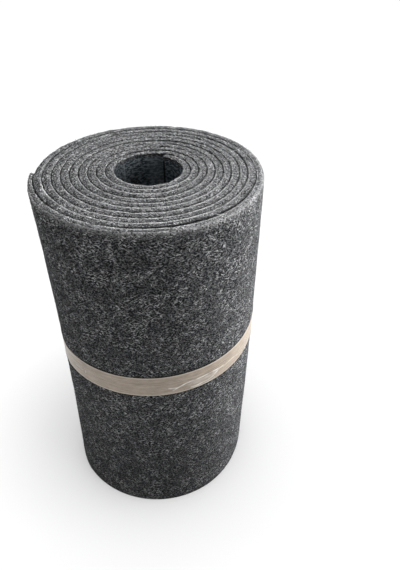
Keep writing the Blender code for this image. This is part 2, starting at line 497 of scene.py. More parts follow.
def out_of_round(angle, depth):
    """Push of a turn at an angle in degrees; depth is 0 outside, 1 in the bore."""
    angles = [row[0] for row in OUT_OF_ROUND]
    outer = np.interp(angle, angles, [row[1] for row in OUT_OF_ROUND], period=360.0)
    inner = np.interp(angle, angles, [row[2] for row in OUT_OF_ROUND], period=360.0)
    return (1.0 - depth) * outer + depth * inner


def face_radii(turns):
    """Inner and outer radius of the felt after so many turns from the loose end."""
    angle = angle_at(turns)
    push = out_of_round(angle % 360.0, turns / total_turns())
    inner = LOOSE_END_INNER_RADIUS - TURN_PITCH * turns + push
    taper = np.minimum(1.0, 360.0 * turns / LOOSE_END_TAPER_ANGLE)
    share = LOOSE_END_THICKNESS_SHARE + (1.0 - LOOSE_END_THICKNESS_SHARE) * taper
    return inner, inner + FELT_THICKNESS * share


def top_height(turns):
    """Height of the felt's upper edge: level, but for small steps and one dip."""
    swing = TURN_HEIGHT_SWING * np.sin(math.tau * turns / TURNS_PER_SWING)
    away = angle_at(turns) - FRONT_DIP_ANGLE
    dip = FRONT_DIP * np.exp(-(away / FRONT_DIP_SPREAD) ** 2) * (turns < 1.0)
    return ROLL_HEIGHT - TURN_HEIGHT_SWING + swing - dip


def place(angle, radius, height):
    """Points of the bowed and waisted roll in the row frame, at angles in degrees."""
    share = np.sin(np.pi * np.clip(height / ROLL_HEIGHT, 0.0, 1.0))
    reach = radius * (1.0 - WAIST_SHARE * share)
    turned = np.radians(angle)
    x = reach * np.cos(turned) + SIDEWAYS_BOW * share + AXIS_X
    y = reach * np.sin(turned) + AXIS_Y
    return np.stack([x, y, height + 0.0 * x], axis=-1)


def band_middle(angle, radius):
    """Height of the middle of the tape at an angle in degrees."""
    return BAND_HEIGHT + BAND_SLOPE * radius * np.cos(np.radians(angle))


def arc_length(turns):
    """Length of felt wound up to so many turns from the loose end."""
    return math.tau * (LOOSE_END_INNER_RADIUS * turns - TURN_PITCH * turns * turns / 2.0)


def turns_at(length):
    """Turns from the loose end after so much felt, the inverse of arc_length."""
    start = LOOSE_END_INNER_RADIUS
    return (start - np.sqrt(start * start - TURN_PITCH * length / math.pi)) / TURN_PITCH


def press_of_band(offset):
    """How far the felt stands out beside the tape, and is cut in at its edges."""
    beyond = np.abs(offset) - BAND_WIDTH / 2.0
    return bump(beyond, *BAND_SHOULDER) + bump(beyond, *BAND_CUT)


def side_share(angle, middle):
    """1 at one side of the roll, fading to 0 at the opposite side."""
    return 0.5 + 0.5 * np.cos(np.radians(angle - middle))


def near_share(angle, middle, spread):
    """1 at one angle, fading to 0 within about twice the spread."""
    return np.exp(-(((angle % 360.0) - middle) / spread) ** 2)


def front_share(angle):
    """1 in front, where the edges carry pale fibres and a painted highlight, and 0 behind."""
    return side_share(angle, FRONT_ANGLE)


def press_share(angle):
    """1 in front at the left, where the turns press on each other, and 0 opposite."""
    return side_share(angle, PRESS_ANGLE) ** PRESS_POWER


def tip_share(angle):
    """1 at the felt's loose end."""
    return near_share(angle, LOOSE_END_ANGLE, TIP_SPREAD)


def closed_share(angle):
    """1 where the outermost turn lies close on the next: at its end and the front left."""
    return np.maximum(near_share(angle, *CLOSED_GAP), tip_share(angle))


def left_share(angle):
    """1 at the left, where the cut edge is painted darker: painted shade."""
    return near_share(angle, *LEFT_SIDE)


def end_lift(along):
    """How far the felt's inner end stands off the turn behind it."""
    left = float(arc_length(total_turns())) - along
    return INNER_END_LIFT * np.clip(1.0 - left / INNER_END_LENGTH, 0.0, 1.0) ** 2


def close_to(turns, middle):
    """1 at one place of the winding, fading to 0 within a quarter turn."""
    return np.exp(-((turns - middle) / WIDE_GAP_SPREAD) ** 2)


# The rows of the felt's section, each a radius and a height for every column.
def corner_rows(face, shift, rounding, level, slants, inward, up):
    """Rows of a rounded edge at a level; inward and up are 1 or -1."""
    rows = []
    for slant in np.radians(slants):
        away = rounding * (1.0 - math.cos(slant))
        height = level + up * rounding * (1.0 - math.sin(slant))
        rows.append((face + shift * math.cos(slant) + inward * away, height))
    return rows


def outer_face_rows(turns, along, outer, top):
    """Rows up the outer face: bumpy where it shows, and pressed in beside the tape."""
    outermost = 1.0 * (turns < 1.0)
    rows = []
    for level in OUTER_LEVELS_BELOW:
        height = level + 0.0 * turns
        rows.append((outer + outermost * uneven(SIDE_WAVES, sheet_noise, along, height), height))
    middle = band_middle(angle_at(turns), outer)
    for offset in BAND_OFFSETS:
        rows.append((outer + outermost * press_of_band(offset), middle + offset))
    for level in OUTER_LEVELS_ABOVE:
        height = level * top / ROLL_HEIGHT
        bumpy = outermost * (level < SMOOTH_ABOVE)
        rows.append((outer + bumpy * uneven(SIDE_WAVES, sheet_noise, along, height), height))
    return rows


def edge_shifts(turns, along):
    """How far the outer and the inner top edge stand out from where the faces are."""
    angle = angle_at(turns)
    swell = EDGE_SWELL_BEHIND + (EDGE_SWELL_IN_FRONT - EDGE_SWELL_BEHIND) * press_share(angle)
    opening = OUTERMOST_GAP_OPENING + CLOSED_GAP_SWELL * closed_share(angle)
    outer_edge = uneven(OUTER_EDGE_WAVES, value_noise, along) + swell * (turns > 2.0)
    outer_edge = outer_edge + opening * (turns > 1.0) * (turns <= 2.0)
    outer_edge = outer_edge - WIDE_GAP_OPENING * close_to(turns, WIDE_GAP_TURNS + 1.0)
    inner_edge = uneven(INNER_EDGE_WAVES, value_noise, along) - swell * (turns > 1.0)
    inner_edge = inner_edge - opening * (turns < 1.0)
    inner_edge = inner_edge + WIDE_GAP_OPENING * close_to(turns, WIDE_GAP_TURNS)
    return outer_edge, inner_edge


def cut_edge_rows(turns, along, inner, outer, top):
    """Rows over the cut edge: a rounded corner, a slight crown and the other corner."""
    outer_edge, inner_edge = edge_shifts(turns, along)
    most = (outer - inner) * EDGE_ROUNDING_SHARE
    wanted = np.where(turns < 1.0, OUTERMOST_EDGE_ROUNDING, EDGE_ROUNDING)
    rows = corner_rows(outer, outer_edge, np.minimum(wanted, most), top, CORNER_ANGLES, -1.0, -1.0)
    for share, seed in CROWN_ROWS:
        crown = CROWN_HEIGHT * (1.0 - abs(2.0 * share - 1.0))
        grain = CROWN_GRAIN * value_noise(along, CROWN_GRAIN_LENGTH, seed)
        rows.append((inner + (outer - inner) * share, top + crown + grain))
    rounding = np.minimum(EDGE_ROUNDING, most)
    return rows + corner_rows(inner, inner_edge, rounding, top, CORNER_ANGLES[::-1], 1.0, -1.0)


def felt_rows(turns):
    """Radii and heights of every row of the felt's section, for each column."""
    along = arc_length(turns)
    inner, outer = face_radii(turns)
    inner = inner - end_lift(along)
    outer = outer - end_lift(along)
    top = top_height(turns) + uneven(TOP_WAVES, value_noise, along)
    rows = corner_rows(outer, 0.0, FOOT_ROUNDING, 0.0, FOOT_ANGLES, -1.0, 1.0)
    rows = rows + outer_face_rows(turns, along, outer, top)
    rows = rows + cut_edge_rows(turns, along, inner, outer, top)
    rows = rows + [(inner, level * top / ROLL_HEIGHT) for level in INNER_LEVELS]
    rows = rows + corner_rows(inner, 0.0, FOOT_ROUNDING, 0.0, FOOT_ANGLES[::-1], 1.0, 1.0)
    radii = np.array([radius + 0.0 * turns for radius, height in rows])
    heights = np.array([height + 0.0 * turns for radius, height in rows])
    return radii, heights


# The felt's tones, painted highlight and painted shade among them, each a number for every point of
# the section in every column.
def pale_edge_and_highlight(angle, radii, heights):
    """1 along the inner top edge of the turns, where the fibres are raised and pale, with a painted
    highlight strongest in front and weaker at the left.
    """
    inner = radii.min(axis=0)
    outer = radii.max(axis=0)
    outermost = 1.0 * (outer > LOOSE_END_INNER_RADIUS)
    below = (heights.max(axis=0) - heights) / PALE_EDGE_DEPTH
    pale_share = PALE_EDGE_BEHIND + (1.0 - PALE_EDGE_BEHIND) * front_share(angle) ** PALE_EDGE_POWER
    pale_share = pale_share * (1.0 - PALE_EDGE_LEFT_FADING * left_share(angle) ** 2)
    pale_share = pale_share * (1.0 - PALE_EDGE_OUTERMOST_FADING * outermost * (1.0 - closed_share(angle)))
    inner_line = pale_share * bump(radii - inner, *PALE_EDGE_LINE) * np.exp(-below ** 2)
    on_outside = radii > (inner + outer) / 2.0
    # The paler side below the outermost top edge in front: fibres with a painted highlight.
    side = PALE_SIDE_STRENGTH * front_share(angle) * outermost * on_outside
    side = side * np.exp(-(below / PALE_SIDE_DEPTH) ** 2)
    outer_line = bump(outer - radii, *PALE_OUTER_LINE) * np.exp(-below ** 2)
    kept = 1.0 - PALE_EDGE_TIP_FADING * tip_share(angle) * outermost
    return (np.minimum(inner_line + side, 1.0) + outer_line) * kept


def touching_shade(turns, angle, heights, on_outside):
    """Painted shade on a face where it meets its neighbour, from just under the top."""
    depth = (heights.max(axis=0) - heights - GAP_SHADE_START) / GAP_SHADE_DEPTH
    outermost_gap = np.where(on_outside, (turns > 1.0) & (turns <= 2.0), turns < 1.0)
    pressed = 1.0 - PRESSED_FADING * press_share(angle)
    closed = 1.0 - CLOSED_FADING * closed_share(angle)
    return np.clip(depth, 0.0, 1.0) * np.where(outermost_gap, closed, pressed)


def cut_edge_shade(turns, angle, radii):
    """Painted shade on the cut edge: towards its outer face, and at the roll's left."""
    front = front_share(angle)
    shown = front ** 2 + OUTER_PART_BEHIND * (1.0 - front) ** 2
    outer_part = shown * bump(radii.max(axis=0) - radii, *OUTER_PART) * (turns >= 1.0)
    inner_part = bump(radii - radii.min(axis=0), *INNER_PART)
    return np.maximum(outer_part, left_share(angle) * np.maximum(inner_part, LEFT_SHADE))


def free_shade(turns, angle, radii, heights, inside, on_outside):
    """Painted shade on the faces that show: the bore's left wall, and a line beside the tape."""
    wall = inside * LEFT_WALL_SHADE * near_share(angle, *LEFT_WALL)
    beyond = np.abs(heights - band_middle(angle, radii.max(axis=0))) - BAND_WIDTH / 2.0
    line = bump(beyond, *TAPE_LINE)
    return np.maximum(wall, line * on_outside * (turns < 1.0))


def gap_shade(turns, angle, radii, heights, inside):
    """Painted shade at every point: from the gaps, the left, the tip and the tape."""
    on_outside = radii.max(axis=0) - radii < radii - radii.min(axis=0)
    near_top = np.exp(-((heights.max(axis=0) - heights) / TIP_SHADE_DEPTH) ** 2)
    tip = TIP_SHADE * tip_share(angle) * (turns < 0.5) * near_top
    free = free_shade(turns, angle, radii, heights, inside, on_outside)
    hidden = touching_shade(turns, angle, heights, on_outside)
    hidden = np.maximum(hidden, cut_edge_shade(turns, angle, radii))
    shown = (on_outside & (turns < 1.0)) | (inside > 0.0)
    return np.maximum(np.where(shown, free, hidden), tip)


# The meshes of the felt and of the tape.
def grid_faces(columns, rows, closed_columns):
    """Faces of a tube of columns, each a closed ring of rows."""
    faces = []
    last = columns if closed_columns else columns - 1
    for column in range(last):
        here = column * rows
        after = ((column + 1) % columns) * rows
        for row in range(rows):
            above = (row + 1) % rows
            faces.append((here + row, after + row, after + above, here + above))
    return faces


def make_mesh(name, points, faces):
    mesh = bpy.data.meshes.new(name)
    mesh.from_pydata([tuple(point) for point in points], [], faces)
    mesh.validate()
    mesh.update()
    made = bpy.data.objects.new(name, mesh)
    bpy.context.scene.collection.objects.link(made)
    return made


def store_tone(made, name, values):
    layer = made.data.attributes.new(name, "FLOAT", "POINT")
    layer.data.foreach_set("value", np.asarray(values, np.float32))


def store_vector(made, name, values):
    layer = made.data.attributes.new(name, "FLOAT_VECTOR", "POINT")
    layer.data.foreach_set("vector", np.asarray(values, np.float32).reshape(-1))


def section_length(radii, heights):
    """Distance round the section from its first row to every row."""
    steps = np.hypot(np.diff(radii, axis=0), np.diff(heights, axis=0))
    start = np.zeros((1, radii.shape[1]))
    return np.concatenate([start, np.cumsum(steps, axis=0)])


def store_felt_looks(felt, turns, radii, heights):
    """Keeps the place on the sheet and the tones that the felt's material reads, painted highlight
    and painted shade among them.
    """
    angle = angle_at(turns)
    store_tone(felt, "edge", pale_edge_and_highlight(angle, radii, heights).T.reshape(-1))
    up = section_length(radii, heights)
    along = np.broadcast_to(arc_length(turns), radii.shape)
    cloth = np.stack([along, up, np.zeros(up.shape)], axis=-1)
    store_vector(felt, "cloth", cloth.transpose(1, 0, 2).reshape(-1, 3))
    fade = np.where(turns < 1.0, OUTERMOST_CUT_FADE, CUT_FADE)
    cut = np.clip((heights - heights.max(axis=0) + CUT_DEPTH + fade) / fade, 0.0, 1.0)
    store_tone(felt, "cut", cut.T.reshape(-1))
    last_turn = (turns - total_turns() + BORE_TURNS) / BORE_FADE_TURNS
    inside = (radii - radii.min(axis=0) < BORE_FACE_DEPTH) * np.clip(last_turn, 0.0, 1.0)
    store_tone(felt, "bore", inside.T.reshape(-1))
    # The gap tone is painted shade.
    store_tone(felt, "gap", gap_shade(turns, angle, radii, heights, inside).T.reshape(-1))


def make_felt():
    """The wound sheet: one closed tube whose ends are the loose and the inner end."""
    length = float(arc_length(total_turns()))
    count = int(length / COLUMN_LENGTH) + 1
    turns = turns_at(np.linspace(0.0, length, count))
    radii, heights = felt_rows(turns)
    points = place(angle_at(turns)[None, :], radii, heights)
    rows = radii.shape[0]
    faces = grid_faces(count, rows, False)
    faces.append(tuple(range(rows)))
    last = (count - 1) * rows
    faces.append(tuple(last + row for row in reversed(range(rows))))
    felt = make_mesh("felt_sheet", points.transpose(1, 0, 2).reshape(-1, 3), faces)
    felt.data.shade_smooth()
    store_felt_looks(felt, turns, radii, heights)
    return felt


def taut_outline():
    """Radius at each step round the roll of a band pulled straight over its dips."""
    spread = math.tau / TAUT_STEPS
    radii = face_radii(np.arange(TAUT_STEPS) / TAUT_STEPS)[1]
    for _ in range(TAUT_SWEEPS):
        before = np.roll(radii, 1)
        after = np.roll(radii, -1)
        chord = 2.0 * before * after * math.cos(spread) / (before + after)
        lifted = np.maximum(radii, chord)
        if np.max(lifted - radii) < TAUT_ENOUGH:
            break
        radii = lifted
    return radii


def line_distance(along, up, path):
    """Distance in metres of every point of the strip from a line of points."""
    nearest = np.full(along.shape, 1.0)
    for first, second in zip(path[:-1], path[1:]):
        run = second - first
        share = (along - first[0]) * run[0] + (up - first[1]) * run[1]
        share = np.clip(share / float(run @ run), 0.0, 1.0)
        away = np.hypot(along - first[0] - share * run[0], up - first[1] - share * run[1])
        nearest = np.minimum(nearest, away)
    return nearest


def metres_round(angle):
    """Metres along the tape from the felt's loose end to an angle in degrees."""
    return np.radians((angle - LOOSE_END_ANGLE) % 360.0) * BAND_RADIUS


def film_ripples(along, up):
    return sum(height * sheet_noise(along, (up + NOISE_SHIFT) * closer, wavelength, seed)
               for height, wavelength, closer, seed in FILM_RIPPLES)


def crease_relief(along, up):
    """Height in metres of the film's creases, and their painted highlight and painted shade."""
    rise = np.zeros(along.shape)
    pale = np.zeros(along.shape)
    dark = np.zeros(along.shape)
    wander = sheet_noise(along, up + NOISE_SHIFT, CREASE_WANDER, CREASE_SEED)
    wander = 1.0 - CREASE_FADING + CREASE_FADING * wander
    for height, half_width, tone, path in CREASES:
        spots = [np.array((metres_round(angle), above / 1000.0)) for angle, above in path]
        away = line_distance(along, up, spots)
        close = np.exp(-(away / (half_width / 1000.0)) ** 2)
        rise = rise + height / 1000.0 * np.exp(-(away / CREASE_RISE_WIDTH) ** 2)
        pale = np.maximum(pale, max(tone, 0.0) * close * wander)
        dark = np.maximum(dark, max(-tone, 0.0) * close * wander)
    return rise, pale, dark


def soft_step(away, fade):
    """1 where a distance is well below 0, and 0 where it is well above."""
    return 1.0 / (1.0 + np.exp(np.clip(away / fade, -60.0, 60.0)))


def band_relief(angles, offsets):
    """Height in metres of the film's relief, its painted highlights, and its painted shade with the
    doubled film's darker tone.
    """
    along = metres_round(angles)[:, None] + 0.0 * offsets
    up = offsets[None, :] + 0.0 * along
    ripples = film_ripples(along, up)
    rise, pale, dark = crease_relief(along, up)
    past = along - metres_round(LAP_END_ANGLE) - LAP_SKEW * up / (BAND_WIDTH / 2.0)
    before = metres_round(LAP_START_ANGLE) - along
    doubled = soft_step(past, LAP_END_FADE) * soft_step(before, LAP_START_FADE)
    rise = ripples + rise + FILM_THICKNESS * doubled
    pale = np.maximum(pale, bump(past, *LAP_PALE))
    dark = np.maximum(dark, bump(past, *LAP_DARK))
    dark = np.maximum(dark, DOUBLED_SHADE * doubled)
    # Painted shade at the right end, where the light from the right falls strongest.
    from_right_shade = (angles - RIGHT_SHADE_ANGLE + 180.0) % 360.0 - 180.0
    right_shade = RIGHT_SHADE * np.exp(-(from_right_shade / RIGHT_SHADE_SPREAD) ** 2)
    return rise, pale, np.maximum(dark, right_shade[:, None])


def both_faces(values):
    """Values of a strip's front face, followed by those of its back in reverse."""
    return np.concatenate([values, values[:, ::-1]], axis=1)


def make_band():
    """The strip of film: a closed ring, its creases in both faces."""
    angles = LOOSE_END_ANGLE + 360.0 * np.arange(BAND_STEPS) / BAND_STEPS
    known = LOOSE_END_ANGLE + 360.0 * np.arange(TAUT_STEPS) / TAUT_STEPS
    outline = np.interp(angles % 360.0, known % 360.0, taut_outline(), period=360.0)
    offsets = np.linspace(-BAND_WIDTH / 2.0, BAND_WIDTH / 2.0, BAND_ROWS)
    rise, pale, dark = band_relief(angles, offsets)
    back = outline[:, None] + BAND_GAP + rise
    heights = band_middle(angles, outline)[:, None] + offsets[None, :]
    turned = np.broadcast_to(angles[:, None], heights.shape)
    front_points = place(turned, back + FILM_THICKNESS, heights)
    back_points = place(turned, back, heights)
    ring = np.concatenate([front_points, back_points[:, ::-1]], axis=1)
    faces = grid_faces(BAND_STEPS, ring.shape[1], True)
    band = make_mesh("tape_strip", ring.reshape(-1, 3), faces)
    band.data.shade_smooth()
    store_tone(band, "crease", both_faces(pale).reshape(-1))
    store_tone(band, "shade", both_faces(dark).reshape(-1))
    along = (turned - LOOSE_END_ANGLE) / 360.0 * BAND_RUN
    up = np.broadcast_to(offsets[None, :], heights.shape)
    strip = np.stack([along, up, np.zeros(up.shape)], axis=-1)
    store_vector(band, "strip", both_faces(strip).reshape(-1, 3))
    return band


# Loose fibres, each a narrow curved ribbon.
def ribbon_points(middle, direction, normal, length, width, bend, lift):
    """Corners of curved ribbons that lie on a surface, in pairs along each."""
    side = np.cross(normal, direction)
    corners = []
    for step in np.linspace(-0.5, 0.5, FIBRE_KNOTS):
        curl = bend * (step * step - RIBBON_CURL_REST)
        raised = lift * (1.0 - RIBBON_DROP * step * step)
        spot = middle + direction * (length * step)[:, None]
        spot = spot + side * (length * curl)[:, None] + normal * raised[:, None]
        half = width * 0.5 * (1.0 - RIBBON_NARROWING * abs(step))
        corners.append(spot - side * half[:, None])
        corners.append(spot + side * half[:, None])
    return np.stack(corners, axis=1)


def ribbon_faces(count):
    faces = []
    for fibre in range(count):
        first = fibre * FIBRE_KNOTS * 2
        for step in range(FIBRE_KNOTS - 1):
            at = first + 2 * step
            faces.append((at, at + 2, at + 3, at + 1))
    return faces


def make_fibres(name, places, seed, lengths, widths, lifts, rarity, swing):
    """One mesh of many ribbons at places, each a point, a normal and a direction."""
    middle, normal, spread = places
    count = len(middle)
    rng = np.random.default_rng(seed)
    turned = np.radians(rng.uniform(-swing, swing, count))
    other = np.cross(normal, spread)
    direction = spread * np.cos(turned)[:, None] + other * np.sin(turned)[:, None]
    length = rng.uniform(*lengths, count)
    width = rng.uniform(*widths, count)
    lift = rng.uniform(*lifts, count)
    bend = rng.uniform(-RIBBON_BEND, RIBBON_BEND, count)
    corners = ribbon_points(middle, direction, normal, length, width, bend, lift)
    made = make_mesh(name, corners.reshape(-1, 3), ribbon_faces(count))
    tone = rng.uniform(0.0, 1.0, count) ** rarity
    bright = rng.uniform(0.0, 1.0, count) < BRIGHT_FIBRE_SHARE
    tone = np.where(bright, BRIGHT_FIBRE_TONE, tone)
    store_tone(made, "tone", np.repeat(tone, FIBRE_KNOTS * 2))
    made.data.shade_smooth()
    return made


def facing_out(angle):
    """The outward normal and the direction round the roll, at angles in degrees."""
    turned = np.radians(angle)
    normal = np.stack([np.cos(turned), np.sin(turned), 0.0 * turned], axis=-1)
    spread = np.stack([-np.sin(turned), np.cos(turned), 0.0 * turned], axis=-1)
    return normal, spread


def side_places(count, seed, low, high):
    """Random places on the outer face, thicker in some patches, none under the tape."""
    rng = np.random.default_rng(seed)
    draws = count * DRAWS_PER_SIDE_PLACE
    turns = rng.uniform(0.0, SIDE_TURNS, draws)
    height = rng.uniform(low, high, draws)
    patches = [(share, size, seed + later) for share, size, later in SIDE_PATCHES]
    patch = uneven(patches, sheet_noise, arc_length(turns), height)
    keep = rng.uniform(PATCH_LEAST, 1.0, draws) < patch
    angle = angle_at(turns)
    outer = face_radii(turns)[1]
    keep &= np.abs(height - band_middle(angle, outer)) > BAND_WIDTH / 2.0 + TAPE_MARGIN
    angle = angle[keep][:count]
    middle = place(angle, outer[keep][:count] + OVER_FELT, height[keep][:count])
    return middle, *facing_out(angle)


def top_places(count, seed):
    """Random places on the cut edge of the felt that faces up, fewer at the left."""
    rng = np.random.default_rng(seed)
    turns = turns_at(rng.uniform(0.0, float(arc_length(total_turns())), count))
    share = rng.uniform(*TOP_SHARES, count)
    left = left_share(angle_at(turns))
    turns = turns[rng.uniform(0.0, 1.0, count) > TOP_LEFT_LOSS * left]
    inner, outer = face_radii(turns)
    radius = inner + (outer - inner) * share[:len(turns)]
    middle = place(angle_at(turns), radius, top_height(turns) + OVER_FELT)
    normal = np.tile((0.0, 0.0, 1.0), (len(turns), 1))
    spread = np.tile((1.0, 0.0, 0.0), (len(turns), 1))
    return middle, normal, spread


def edge_places(count, seed):
    """Random places along the inner top edge of the turns, most of them in front."""
    rng = np.random.default_rng(seed)
    draws = count * DRAWS_PER_EDGE_PLACE
    turns = turns_at(rng.uniform(0.0, float(arc_length(total_turns())), draws))
    front = front_share(angle_at(turns)) ** 2
    wanted = EDGE_FIBRES_BEHIND + (1.0 - EDGE_FIBRES_BEHIND) * front
    turns = turns[rng.uniform(0.0, 1.0, draws) < wanted][:count]
    angle = angle_at(turns)
    over = np.abs(rng.normal(0.0, EDGE_FIBRE_SPREAD, len(turns)))
    radius = face_radii(turns)[0] + EDGE_FIBRE_INSET + over
    middle = place(angle, radius, top_height(turns) - EDGE_FIBRE_DROP)
    outward, spread = facing_out(angle)
    return middle, np.array(EDGE_FACING_UP) - EDGE_FACING_IN * outward, spread


def side_tuft_places(rng):
    tufts = np.repeat(np.array(SIDE_TUFTS), FIBRES_PER_TUFT, axis=0)
    angle = tufts[:, 0] + np.degrees(rng.normal(0.0, TUFT_SPREAD, len(tufts)) / BAND_RADIUS)
    height = tufts[:, 1] + rng.normal(0.0, TUFT_SPREAD, len(tufts))
    outer = face_radii(((angle - LOOSE_END_ANGLE) % 360.0) / 360.0)[1]
    return place(angle, outer + TUFT_OVER_FELT, height), *facing_out(angle)


def top_tuft_places(rng):
    tufts = np.repeat(np.array(TOP_TUFTS), FIBRES_PER_TUFT, axis=0)
    angle = tufts[:, 0] + rng.normal(0.0, TOP_TUFT_TURN, len(tufts))
    radius = tufts[:, 1] + rng.normal(0.0, TUFT_SPREAD, len(tufts)) * TOP_TUFT_NARROWING
    middle = place(angle, radius, ROLL_HEIGHT + TUFT_OVER_FELT)
    return middle, np.tile((0.0, 0.0, 1.0), (len(tufts), 1)), facing_out(angle)[1]


def tuft_places(seed):
    """Places of the tufts' fibres, spread by chance on the side and on the top."""
    rng = np.random.default_rng(seed)
    side = side_tuft_places(rng)
    top = top_tuft_places(rng)
    return [np.vstack(pair) for pair in zip(side, top)]


# The nodes that the materials are made of.
def new_material(name):
    material = bpy.data.materials.new(name)
    material.use_nodes = True
    tree = material.node_tree
    shader = tree.nodes["Principled BSDF"]
    return material, tree, shader


def set_inputs(tree, node, values):
    """Sets a node's sockets, each to a value or linked to another node's output."""
    for name, value in values.items():
        if isinstance(value, bpy.types.NodeSocket):
            tree.links.new(value, node.inputs[name])
        else:
            node.inputs[name].default_value = value


def add_noise(tree, vector, scale, detail=2.0, roughness=0.5, distortion=0.0):
    noise = tree.nodes.new("ShaderNodeTexNoise")
    set_inputs(tree, noise, {"Vector": vector, "Scale": scale, "Detail": detail,
                             "Roughness": roughness, "Distortion": distortion})
    return noise.outputs["Fac"]


def add_range(tree, value, low, high, to_low=0.0, to_high=1.0):
    ranged = tree.nodes.new("ShaderNodeMapRange")
    ranged.interpolation_type = "SMOOTHSTEP"
    set_inputs(tree, ranged, {"Value": value, "From Min": low, "From Max": high,
                              "To Min": to_low, "To Max": to_high})
    return ranged.outputs["Result"]


def add_math(tree, operation, *values):
    worked = tree.nodes.new("ShaderNodeMath")
    worked.operation = operation
    set_inputs(tree, worked, dict(enumerate(values)))
    return worked.outputs["Value"]


def times(tree, first, second):
    return add_math(tree, "MULTIPLY", first, second)


def add_mix(tree, share, under, over):
    """One colour over another at a share, each three numbers or a node's output."""
    mix = tree.nodes.new("ShaderNodeMix")
    mix.data_type = "RGBA"
    pair = [(*colour, 1.0) if isinstance(colour, tuple) else colour for colour in (under, over)]
    set_inputs(tree, mix, {0: share, 6: pair[0], 7: pair[1]})
    return mix.outputs[2]


def layered(tree, colour, layers):
    """Lays colours over the first in turn, each at its share."""
    for share, over in layers:
        colour = add_mix(tree, share, colour, over)
    return colour


def add_attribute(tree, name, output="Fac"):
    attribute = tree.nodes.new("ShaderNodeAttribute")
    attribute.attribute_name = name
    return attribute.outputs[output]


def add_part(tree, vector, axis):
    parts = tree.nodes.new("ShaderNodeSeparateXYZ")
    tree.links.new(vector, parts.inputs["Vector"])
    return parts.outputs[axis]


def add_flecks(tree, cloth, slant, length, width, low, high):
    """Short straight specks at a slant in degrees: a noise drawn out along it."""
    turned = tree.nodes.new("ShaderNodeMapping")
    turned.vector_type = "TEXTURE"
    set_inputs(tree, turned, {"Vector": cloth, "Location": (FLECK_SHIFT * slant, 0.0, 0.0),
                              "Rotation": (0.0, 0.0, math.radians(slant)),
                              "Scale": (length, width, 1.0)})
    noise = tree.nodes.new("ShaderNodeTexNoise")
    noise.noise_dimensions = "2D"
    set_inputs(tree, noise, {"Vector": turned.outputs["Vector"], "Scale": 1.0, "Detail": 1.0,
                             "Distortion": FLECK_WARP})
    return add_range(tree, noise.outputs["Fac"], low, high)


def add_upright_line(tree, cloth, along, fade=UPRIGHT_FADE):
    """1 on an upright line of the sheet, so many metres from its loose end."""
    away = add_math(tree, "SUBTRACT", add_part(tree, cloth, "X"), along)
    return add_range(tree, add_math(tree, "ABSOLUTE", away), *fade, 1.0, 0.0)


def add_bump(tree, shader, height, strength, distance):
    raised = tree.nodes.new("ShaderNodeBump")
    set_inputs(tree, raised, {"Height": height, "Strength": strength, "Distance": distance})
    tree.links.new(raised.outputs["Normal"], shader.inputs["Normal"])


def weighted(tree, values, shares):
    """Sum of values, each times its share."""
    parts = [times(tree, value, share) for value, share in zip(values, shares)]
    total = parts[0]
    for part in parts[1:]:
        total = add_math(tree, "ADD", total, part)
    return total


def strongest(tree, values):
    most = values[0]
    for value in values[1:]:
        most = add_math(tree, "MAXIMUM", most, value)
    return most


# The materials.
def wall_place(angle):
    """Metres from the loose end to the bore's wall at an angle in degrees."""
    back = (INNER_END_ANGLE - angle) % 360.0 / 360.0
    return float(arc_length(total_turns() - back))


def felt_grounds(tree, where, cut):
    """Colour of the felt under its specks, its fine tone, and the cut edge's relief."""
    broad, blotch, grain, dust = [add_noise(tree, where, *row) for row in GROUND_NOISES]
    tone = weighted(tree, (broad, blotch, grain, dust), GROUND_SHARES)
    ground = add_mix(tree, add_range(tree, tone, *GROUND_RANGE), GROUND_DARK, GROUND_PALE)
    cut_tone = weighted(tree, (broad, grain, dust), CUT_SHARES)
    cut_ground = add_mix(tree, add_range(tree, cut_tone, *CUT_RANGE), CUT_DARK, CUT_PALE)
    crumbs = add_range(tree, add_noise(tree, where, *CRUMB_NOISE), *CRUMB_RANGE)
    pits = add_range(tree, add_noise(tree, where, *PIT_NOISE), *PIT_RANGE)
    cut_ground = layered(tree, cut_ground, ((crumbs, CRUMB_PALE), (pits, PIT_DARK)))
    rough = weighted(tree, (crumbs, pits), (CRUMB_RISE, -CRUMB_RISE))
    return add_mix(tree, cut, ground, cut_ground), grain, tone, times(tree, rough, cut)


def felt_flecks(tree, cloth, where, cut):
    """Shares of the fine, bright and dark specks; the cut edge has fewer."""
    fine, bright, dark = [strongest(tree, [add_flecks(tree, cloth, *row) for row in rows])
                          for rows in (FINE_FLECKS, BRIGHT_FLECKS, DARK_FLECKS)]
    patches = add_range(tree, add_noise(tree, where, *PATCH_NOISE), *PATCH_RANGE)
    whole = add_math(tree, "SUBTRACT", 1.0, times(tree, cut, CUT_FLECK_LOSS))
    bright = times(tree, bright, times(tree, patches, whole))
    return fine, bright, times(tree, dark, times(tree, whole, DARK_FLECK_STRENGTH))


def bore_colour(tree, cloth):
    """Colour of the wall inside the bore, painted paler as painted light, with its fold as a painted
    highlight and its paler part of painted light.
    """
    inside = add_mix(tree, add_flecks(tree, cloth, *BORE_FLECKS), BORE_DARK, BORE_PALE)
    fold = add_upright_line(tree, cloth, wall_place(FOLD_ANGLE))
    pale = add_upright_line(tree, cloth, wall_place(PALE_WALL_ANGLE), PALE_WALL_FADE)
    return layered(tree, inside, ((times(tree, fold, FOLD_STRENGTH), FOLD_HIGHLIGHT),
                                  (times(tree, pale, PALE_WALL_STRENGTH), WALL_PAINTED_LIGHT)))


